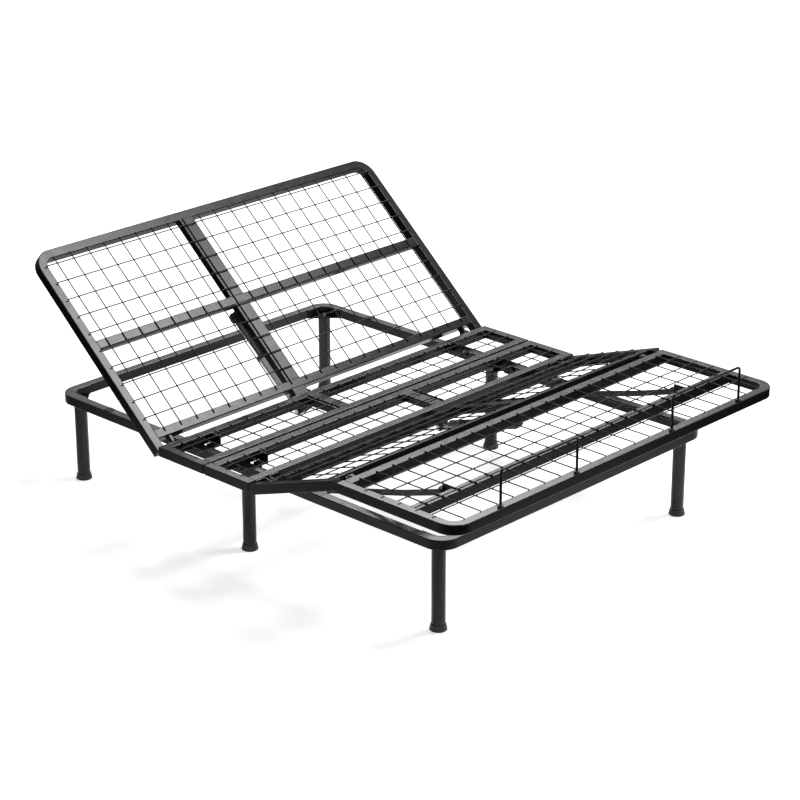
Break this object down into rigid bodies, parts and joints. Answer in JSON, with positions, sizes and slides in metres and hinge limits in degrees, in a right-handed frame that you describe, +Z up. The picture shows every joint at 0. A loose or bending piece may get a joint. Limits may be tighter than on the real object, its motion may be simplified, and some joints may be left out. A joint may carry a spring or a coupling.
{
  "type": "adjustable bed base",
  "caption": "Queen-size adjustable bed base with wire-mesh deck sections on a split tube frame, a tilting head, a lifting knee, tube legs and mattress retainer bars.",
  "frame": {"origin": "on the floor at the centre of the rest-pose bounding box", "axes": "+X across the bed, +Y toward the head end, +Z up"},
  "size_m": [1.51, 1.9065, 0.8361],
  "materials": {
    "black_frame": "satin black powder coat",
    "black_bracket": "semi-gloss black powder coat",
    "zinc": "bright zinc plate",
    "actuator_grey": "satin anodised",
    "rod_black": "gloss black",
    "black_plastic": "matte",
    "pad_rubber": "matte",
    "bush_nylon": "matte"
  },
  "bodies": {
    "base": {"base_head_half": "black_frame", "base_foot_half": "black_frame", "leg_brackets": "black_bracket", "splice_plates": "black_bracket", "base_bolts": "black_bracket", "base_tube_plugs": "black_plastic", "leg_head_left": "black_frame", "leg_head_right": "black_frame", "leg_middle_left": "black_frame", "leg_middle_right": "black_frame", "leg_foot_left": "black_frame", "leg_foot_right": "black_frame", "leg_glides": "black_plastic", "leg_studs": "zinc", "deck_pads": "pad_rubber", "seat_frame_head": "black_frame", "seat_frame_foot": "black_frame", "seat_mesh_head": "black_frame", "seat_mesh_foot": "black_frame", "seat_tube_plugs": "black_plastic", "seat_brackets": "black_bracket", "hinge_brackets": "black_bracket", "hinge_pins": "black_bracket", "head_actuator_clevis": "black_bracket", "thigh_actuator_clevis": "black_bracket", "link_base_brackets": "black_bracket", "pivot_pins": "zinc", "control_box": "black_plastic", "power_inlet": "black_plastic"},
    "head_section": {"head_frame": "black_frame", "head_mesh": "black_frame", "head_hinge_bushes": "bush_nylon", "head_actuator_bracket": "black_bracket", "head_tube_plugs": "black_plastic"},
    "thigh_section": {"thigh_frame": "black_frame", "thigh_mesh": "black_frame", "thigh_hinge_bushes": "bush_nylon", "thigh_actuator_bracket": "black_bracket", "knee_hinge_brackets": "black_bracket", "knee_hinge_pins": "black_bracket", "thigh_tube_plugs": "black_plastic"},
    "foot_section": {"foot_frame": "black_frame", "foot_mesh": "black_frame", "knee_hinge_bushes": "bush_nylon", "link_foot_brackets": "black_bracket", "retainer_left": "black_frame", "retainer_right": "black_frame", "retainer_sockets": "black_plastic", "foot_tube_plugs": "black_plastic"},
    "link_left": {"link_arm_left": "black_frame"},
    "link_right": {"link_arm_right": "black_frame"},
    "head_actuator": {"head_actuator_tube": "actuator_grey", "head_actuator_collar": "black_plastic"},
    "head_rod": {"head_actuator_rod": "rod_black", "head_rod_pin": "rod_black"},
    "thigh_actuator": {"thigh_actuator_tube": "actuator_grey", "thigh_actuator_collar": "black_plastic"},
    "thigh_rod": {"thigh_actuator_rod": "rod_black", "thigh_rod_pin": "rod_black"}
  },
  "joints": [
    {"name": "head_lift", "type": "hinge", "parent": "base", "child": "head_section", "pos_m": [0, 0.3161, 0.329], "axis": [1, 0, 0], "range_deg": [-41.2, 18.8]},
    {"name": "thigh_lift", "type": "hinge", "parent": "base", "child": "thigh_section", "pos_m": [0, -0.1343, 0.329], "axis": [-1, 0, 0], "range_deg": [-18.8, 11.2]},
    {"name": "knee_fold", "type": "hinge", "parent": "thigh_section", "child": "foot_section", "pos_m": [0, -0.46752, 0.44244], "axis": [-1, 0, 0], "range_deg": [-11.22, 18.82]},
    {"name": "link_left_swing", "type": "hinge", "parent": "base", "child": "link_left", "pos_m": [-0.545, -0.2356, 0.292], "axis": [-1, 0, 0], "range_deg": [-13.54, 8.07]},
    {"name": "link_right_swing", "type": "hinge", "parent": "base", "child": "link_right", "pos_m": [0.545, -0.2356, 0.292], "axis": [-1, 0, 0], "range_deg": [-13.54, 8.07]},
    {"name": "head_actuator_tilt", "type": "hinge", "parent": "base", "child": "head_actuator", "pos_m": [-0.1205, 0.3134, 0.276], "axis": [1, 0, 0], "range_deg": [-38.25, 17.47]},
    {"name": "head_rod_slide", "type": "slide", "parent": "head_actuator", "child": "head_rod", "axis": [0, 0.7706, 0.6374], "range_m": [-0.03158, 0.01457]},
    {"name": "thigh_actuator_tilt", "type": "hinge", "parent": "base", "child": "thigh_actuator", "pos_m": [0.114, -0.1006, 0.266], "axis": [-1, 0, 0], "range_deg": [-16.11, 9.61]},
    {"name": "thigh_rod_slide", "type": "slide", "parent": "thigh_actuator", "child": "thigh_rod", "axis": [0, -0.957, 0.2901], "range_m": [-0.01769, 0.01066]}
  ],
  "couplings": [
    {"joint": "knee_fold", "follows": "thigh_lift", "ratio": -1},
    {"joint": "link_left_swing", "follows": "thigh_lift", "ratio": 0.719},
    {"joint": "link_right_swing", "follows": "thigh_lift", "ratio": 0.719},
    {"joint": "head_actuator_tilt", "follows": "head_lift", "ratio": 0.928},
    {"joint": "head_rod_slide", "follows": "head_lift", "m_per_rad": 0.0435},
    {"joint": "thigh_actuator_tilt", "follows": "thigh_lift", "ratio": 0.856},
    {"joint": "thigh_rod_slide", "follows": "thigh_lift", "m_per_rad": 0.053}
  ]
}
